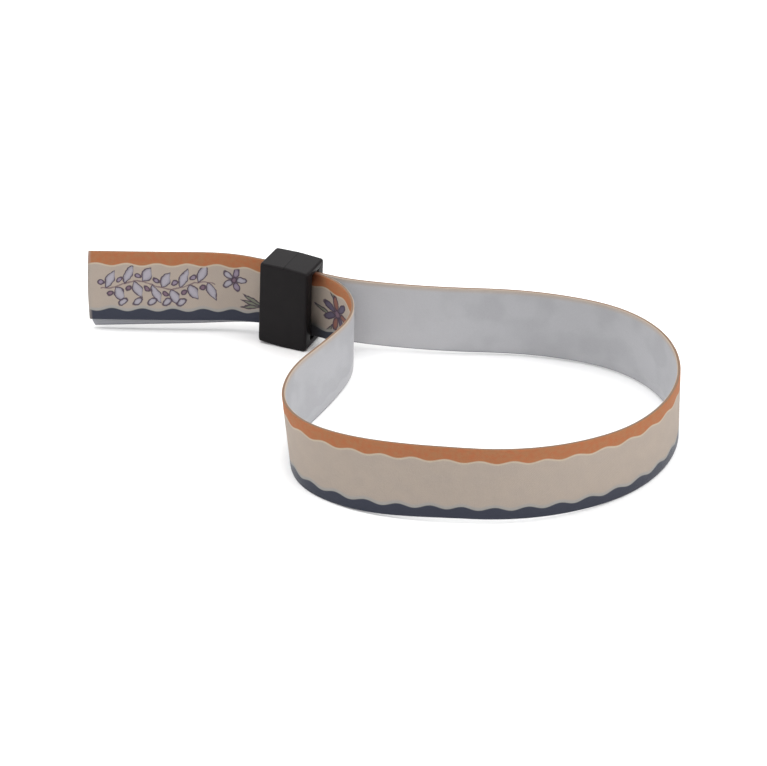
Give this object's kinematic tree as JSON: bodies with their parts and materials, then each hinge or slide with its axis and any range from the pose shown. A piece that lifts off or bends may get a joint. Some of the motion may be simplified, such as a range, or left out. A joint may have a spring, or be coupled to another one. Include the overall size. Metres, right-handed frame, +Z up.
{
  "type": "festival wristband",
  "caption": "Woven fabric wristband forming a loop with two free tails, held by a small moulded slide lock and standing on its edge.",
  "frame": {"origin": "on the floor, under the middle of the box round the whole object", "axes": "+X along the two strands in the lock, towards the loop; +Z up, across the band's width; -Y is the side that the picture is taken from"},
  "size_m": [0.1326, 0.0728, 0.019],
  "materials": {
    "woven_band": "printed satin weave: orange and navy wave borders on beige, plain white inside",
    "lock_plastic": "fine satin black moulding"
  },
  "bodies": {
    "root": {"band": "woven_band", "slide_lock": "lock_plastic"}
  },
  "joints": []
}
